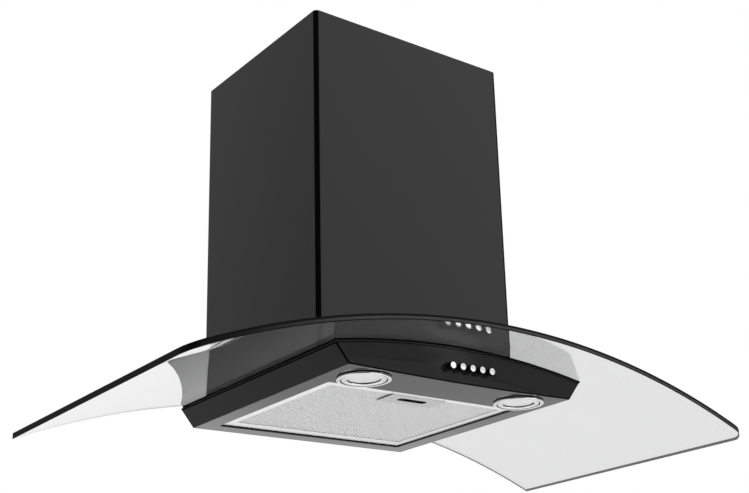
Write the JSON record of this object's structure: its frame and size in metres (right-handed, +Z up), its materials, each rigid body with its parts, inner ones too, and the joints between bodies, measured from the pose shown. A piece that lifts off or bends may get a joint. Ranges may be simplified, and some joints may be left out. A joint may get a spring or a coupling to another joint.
{
  "type": "chimney range hood",
  "caption": "Wall-hung chimney range hood: curved glass canopy over a slim sloped body with push buttons, round lamps, hinged grease filter, blower and telescopic chimney cover.",
  "frame": {"origin": "on the wall plane, in the middle of the width, at the level of the body's flat underside", "axes": "+X to the right seen from the front, along the hood's width; +Y into the wall, so the front faces -Y; +Z up"},
  "size_m": [0.9, 0.486, 0.5917],
  "materials": {
    "black_sheet": "semi-gloss black powder coat on folded steel",
    "panel_sheet": "satin grey coat on folded steel",
    "canopy_glass": "clear bent tempered glass, polished edges",
    "rubber": "soft black rubber",
    "chrome": "bright chrome plate",
    "galvanised": "plain zinc-coated sheet",
    "zinc_screw": "zinc-plated steel",
    "black_plastic": "moulded black plastic",
    "white_plastic": "moulded white plastic",
    "cast_motor": "cast aluminium",
    "frosted_glass": "frosted glass",
    "lamp_reflector": "pressed bright aluminium",
    "filter_aluminium": "bright satin aluminium",
    "filter_mesh": "fine perforated aluminium"
  },
  "bodies": {
    "hood": {"body_shell": "black_sheet", "front_fascia": "black_sheet", "top_deck": "black_sheet", "underside_panel": "panel_sheet", "glass_canopy": "canopy_glass", "glass_gasket": "rubber", "glass_screws": "chrome", "glass_washers": "rubber", "chimney_lower": "black_sheet", "chimney_feet": "galvanised", "foot_screws": "zinc_screw", "back_plate": "galvanised", "motor_box": "galvanised", "scroll_left": "black_plastic", "scroll_right": "black_plastic", "motor": "cast_motor", "motor_bracket": "galvanised", "capacitor": "white_plastic", "duct_collar": "black_plastic", "damper_pin": "galvanised", "terminal_box": "white_plastic", "cable_gland": "black_plastic", "transformer": "black_plastic", "switch_block": "black_plastic", "button_collars": "black_plastic", "lamp_bulbs": "frosted_glass", "lamp_bezel_left": "chrome", "lamp_lens_left": "frosted_glass", "lamp_can_left": "lamp_reflector", "lamp_bezel_right": "chrome", "lamp_lens_right": "frosted_glass", "lamp_can_right": "lamp_reflector"},
    "upper_chimney": {"chimney_upper": "black_sheet", "chimney_bracket": "galvanised", "bracket_screws": "zinc_screw"},
    "filter": {"filter_frame": "filter_aluminium", "filter_face_mesh": "filter_mesh", "filter_core": "filter_mesh", "filter_back_mesh": "filter_mesh", "filter_pins": "zinc_screw", "latch_plate": "filter_aluminium", "latch_cup": "black_plastic", "latch_springs": "zinc_screw"},
    "latch": {"latch_bolt": "black_plastic"},
    "impeller": {"impeller_wheel": "galvanised", "motor_shaft": "zinc_screw"},
    "flap_front": {"damper_flap_front": "black_plastic"},
    "flap_back": {"damper_flap_back": "black_plastic"},
    "button_1": {"button_cap_1": "chrome", "button_stem_1": "black_plastic"},
    "button_2": {"button_cap_2": "chrome", "button_stem_2": "black_plastic"},
    "button_3": {"button_cap_3": "chrome", "button_stem_3": "black_plastic"},
    "button_4": {"button_cap_4": "chrome", "button_stem_4": "black_plastic"},
    "button_5": {"button_cap_5": "chrome", "button_stem_5": "black_plastic"}
  },
  "joints": [
    {"name": "chimney_extend", "type": "slide", "parent": "hood", "child": "upper_chimney", "axis": [0, 0, 1], "range_m": [0, 0.35]},
    {"name": "filter_hinge", "type": "hinge", "parent": "hood", "child": "filter", "pos_m": [0, -0.0355, 0.0067], "axis": [1, 0, 0], "range_deg": [0, 80]},
    {"name": "latch_slide", "type": "slide", "parent": "filter", "child": "latch", "axis": [0, 1, 0], "range_m": [0, 0.0065], "stiffness_N_per_m": 150, "springref_m": -0.004, "deforming": ["latch_springs"]},
    {"name": "impeller_spin", "type": "hinge", "parent": "hood", "child": "impeller", "pos_m": [0, -0.182, 0.172], "axis": [1, 0, 0], "continuous": true},
    {"name": "flap_front_hinge", "type": "hinge", "parent": "hood", "child": "flap_front", "pos_m": [0, -0.122, 0.3148], "axis": [-1, 0, 0], "range_deg": [0, 75]},
    {"name": "flap_back_hinge", "type": "hinge", "parent": "hood", "child": "flap_back", "pos_m": [0, -0.122, 0.3148], "axis": [1, 0, 0], "range_deg": [0, 75]},
    {"name": "button_1_press", "type": "slide", "parent": "hood", "child": "button_1", "axis": [0, 1, 0], "range_m": [0, 0.0035], "stiffness_N_per_m": 300, "springref_m": -0.001},
    {"name": "button_2_press", "type": "slide", "parent": "hood", "child": "button_2", "axis": [0, 1, 0], "range_m": [0, 0.0035], "stiffness_N_per_m": 300, "springref_m": -0.001},
    {"name": "button_3_press", "type": "slide", "parent": "hood", "child": "button_3", "axis": [0, 1, 0], "range_m": [0, 0.0035], "stiffness_N_per_m": 300, "springref_m": -0.001},
    {"name": "button_4_press", "type": "slide", "parent": "hood", "child": "button_4", "axis": [0, 1, 0], "range_m": [0, 0.0035], "stiffness_N_per_m": 300, "springref_m": -0.001},
    {"name": "button_5_press", "type": "slide", "parent": "hood", "child": "button_5", "axis": [0, 1, 0], "range_m": [0, 0.0035], "stiffness_N_per_m": 300, "springref_m": -0.001}
  ]
}
